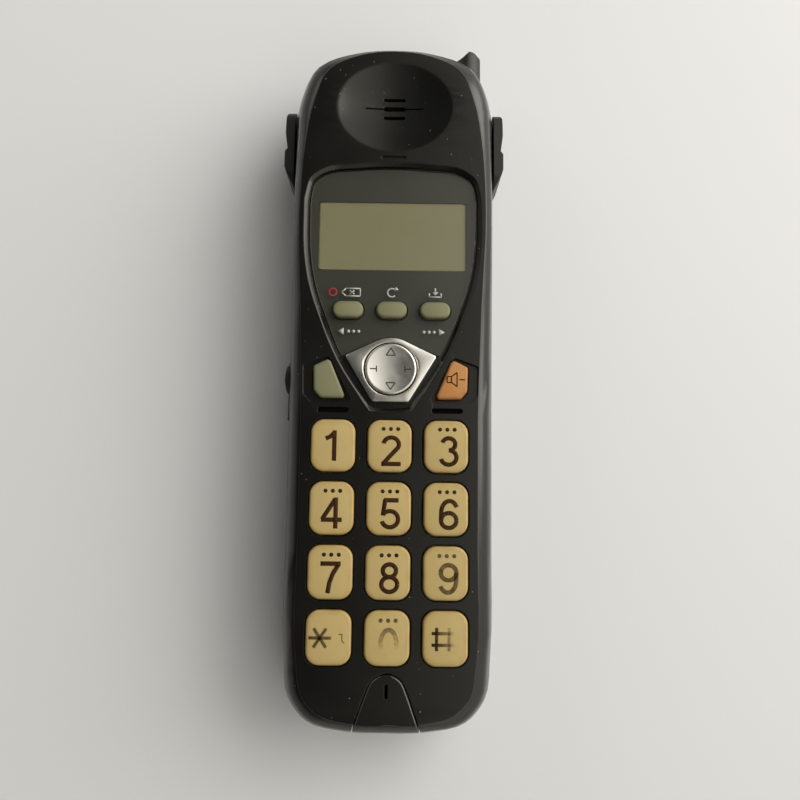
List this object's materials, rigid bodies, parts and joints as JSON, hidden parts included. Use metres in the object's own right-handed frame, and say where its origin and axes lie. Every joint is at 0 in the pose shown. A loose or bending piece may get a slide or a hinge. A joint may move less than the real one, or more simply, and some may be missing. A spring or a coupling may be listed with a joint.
{
  "type": "cordless phone handset",
  "caption": "Cordless phone handset with a push-button keypad, a rocker, a display, a slide-off battery door, a pull-off belt clip and a hinged flap over a headset socket.",
  "frame": {"origin": "under the middle of the handset, on the plane its back rests on", "axes": "+X to the right of the face, +Y towards the earpiece and antenna, +Z out of the face"},
  "size_m": [0.0602, 0.186, 0.0324],
  "materials": {
    "shell_black": "fine satin moulding, worn to a soft sheen",
    "clip_black": "smooth satin moulding",
    "rubber_dark": "soft matt rubber",
    "socket_black": "plain moulding",
    "window_smoke": "smoke tinted polished plastic",
    "chrome": "bright plating on plastic, slightly worn",
    "inner_plastic": "plain moulding",
    "steel": "plain sheet and wire",
    "silicone_grey": "matt silicone",
    "board_green": "solder mask",
    "display_olive": "polarised glass, unlit",
    "white_plastic": "plain moulding",
    "foam": "open foam",
    "aluminium_can": "drawn can",
    "copper": "enamelled wire",
    "cell_wrap": "printed shrink sleeve without lettering",
    "gilt": "plated contact",
    "key_amber": "translucent silicone key, yellowed with use",
    "key_olive": "translucent silicone key",
    "key_orange": "translucent silicone key"
  },
  "bodies": {
    "handset": {"front_cover": "shell_black", "rear_cover": "shell_black", "display_window": "window_smoke", "nav_bezel": "chrome", "mic_tongue": "shell_black", "antenna_stub": "clip_black", "antenna_coil": "copper", "headset_jack": "socket_black", "keypad_mat": "silicone_grey", "contact_domes": "steel", "main_board": "board_green", "board_screws": "steel", "case_screws": "steel", "rf_shield": "steel", "lcd_glass": "display_olive", "lcd_frame": "white_plastic", "backlight_panel": "white_plastic", "lcd_connector": "silicone_grey", "receiver": "inner_plastic", "receiver_gasket": "foam", "loudspeaker": "inner_plastic", "microphone": "aluminium_can", "mic_boot": "rubber_dark", "battery_cells": "cell_wrap", "battery_contacts": "steel", "charge_contacts": "gilt"},
    "key_1_body": {"key_1": "key_amber"},
    "key_2_body": {"key_2": "key_amber"},
    "key_3_body": {"key_3": "key_amber"},
    "key_4_body": {"key_4": "key_amber"},
    "key_5_body": {"key_5": "key_amber"},
    "key_6_body": {"key_6": "key_amber"},
    "key_7_body": {"key_7": "key_amber"},
    "key_8_body": {"key_8": "key_amber"},
    "key_9_body": {"key_9": "key_amber"},
    "key_star_body": {"key_star": "key_amber"},
    "key_0_body": {"key_0": "key_amber"},
    "key_hash_body": {"key_hash": "key_amber"},
    "soft_key_left_body": {"soft_key_left": "key_olive"},
    "soft_key_middle_body": {"soft_key_middle": "key_olive"},
    "soft_key_right_body": {"soft_key_right": "key_olive"},
    "talk_key_body": {"talk_key": "key_olive"},
    "speaker_key_body": {"speaker_key": "key_orange"},
    "battery_door_body": {"battery_door": "shell_black"},
    "belt_clip_body": {"belt_clip": "clip_black"},
    "jack_flap_body": {"jack_flap": "rubber_dark"},
    "nav_pivot_body": {"nav_pivot": "steel"},
    "nav_rocker_body": {"nav_rocker": "inner_plastic", "nav_disc": "chrome"}
  },
  "joints": [
    {"name": "key_1_press", "type": "slide", "parent": "handset", "child": "key_1_body", "axis": [0, 0, -1], "range_m": [0, 0.001], "stiffness_N_per_m": 1200},
    {"name": "key_2_press", "type": "slide", "parent": "handset", "child": "key_2_body", "axis": [0, 0, -1], "range_m": [0, 0.001], "stiffness_N_per_m": 1200},
    {"name": "key_3_press", "type": "slide", "parent": "handset", "child": "key_3_body", "axis": [0, 0, -1], "range_m": [0, 0.001], "stiffness_N_per_m": 1200},
    {"name": "key_4_press", "type": "slide", "parent": "handset", "child": "key_4_body", "axis": [0, 0, -1], "range_m": [0, 0.001], "stiffness_N_per_m": 1200},
    {"name": "key_5_press", "type": "slide", "parent": "handset", "child": "key_5_body", "axis": [0, 0, -1], "range_m": [0, 0.001], "stiffness_N_per_m": 1200},
    {"name": "key_6_press", "type": "slide", "parent": "handset", "child": "key_6_body", "axis": [0, 0, -1], "range_m": [0, 0.001], "stiffness_N_per_m": 1200},
    {"name": "key_7_press", "type": "slide", "parent": "handset", "child": "key_7_body", "axis": [0, 0, -1], "range_m": [0, 0.001], "stiffness_N_per_m": 1200},
    {"name": "key_8_press", "type": "slide", "parent": "handset", "child": "key_8_body", "axis": [0, 0, -1], "range_m": [0, 0.001], "stiffness_N_per_m": 1200},
    {"name": "key_9_press", "type": "slide", "parent": "handset", "child": "key_9_body", "axis": [0, 0, -1], "range_m": [0, 0.001], "stiffness_N_per_m": 1200},
    {"name": "key_star_press", "type": "slide", "parent": "handset", "child": "key_star_body", "axis": [0, 0, -1], "range_m": [0, 0.001], "stiffness_N_per_m": 1200},
    {"name": "key_0_press", "type": "slide", "parent": "handset", "child": "key_0_body", "axis": [0, 0, -1], "range_m": [0, 0.001], "stiffness_N_per_m": 1200},
    {"name": "key_hash_press", "type": "slide", "parent": "handset", "child": "key_hash_body", "axis": [0, 0, -1], "range_m": [0, 0.001], "stiffness_N_per_m": 1200},
    {"name": "soft_key_left_press", "type": "slide", "parent": "handset", "child": "soft_key_left_body", "axis": [0, 0, -1], "range_m": [0, 0.001], "stiffness_N_per_m": 1200},
    {"name": "soft_key_middle_press", "type": "slide", "parent": "handset", "child": "soft_key_middle_body", "axis": [0, 0, -1], "range_m": [0, 0.001], "stiffness_N_per_m": 1200},
    {"name": "soft_key_right_press", "type": "slide", "parent": "handset", "child": "soft_key_right_body", "axis": [0, 0, -1], "range_m": [0, 0.001], "stiffness_N_per_m": 1200},
    {"name": "talk_key_press", "type": "slide", "parent": "handset", "child": "talk_key_body", "axis": [0, 0, -1], "range_m": [0, 0.001], "stiffness_N_per_m": 1200},
    {"name": "speaker_key_press", "type": "slide", "parent": "handset", "child": "speaker_key_body", "axis": [0, 0, -1], "range_m": [0, 0.001], "stiffness_N_per_m": 1200},
    {"name": "nav_tilt_up_down", "type": "hinge", "parent": "handset", "child": "nav_pivot_body", "pos_m": [0, -0.00285, 0.029], "axis": [1, 0, 0], "range_deg": [-4, 4], "stiffness_Nm_per_rad": 0.08},
    {"name": "nav_tilt_left_right", "type": "hinge", "parent": "nav_pivot_body", "child": "nav_rocker_body", "pos_m": [0, -0.00285, 0.029], "axis": [0, 1, 0], "range_deg": [-4, 4], "stiffness_Nm_per_rad": 0.08},
    {"name": "battery_door_slide", "type": "slide", "parent": "handset", "child": "battery_door_body", "axis": [0, -1, 0], "range_m": [0, 0.08]},
    {"name": "belt_clip_pull_off", "type": "slide", "parent": "handset", "child": "belt_clip_body", "axis": [0, 0, -1], "range_m": [0, 0.03]},
    {"name": "jack_flap_hinge", "type": "hinge", "parent": "handset", "child": "jack_flap_body", "pos_m": [-0.02615, -0.01475, 0.019], "axis": [0, 0, 1], "range_deg": [0, 100]}
  ]
}
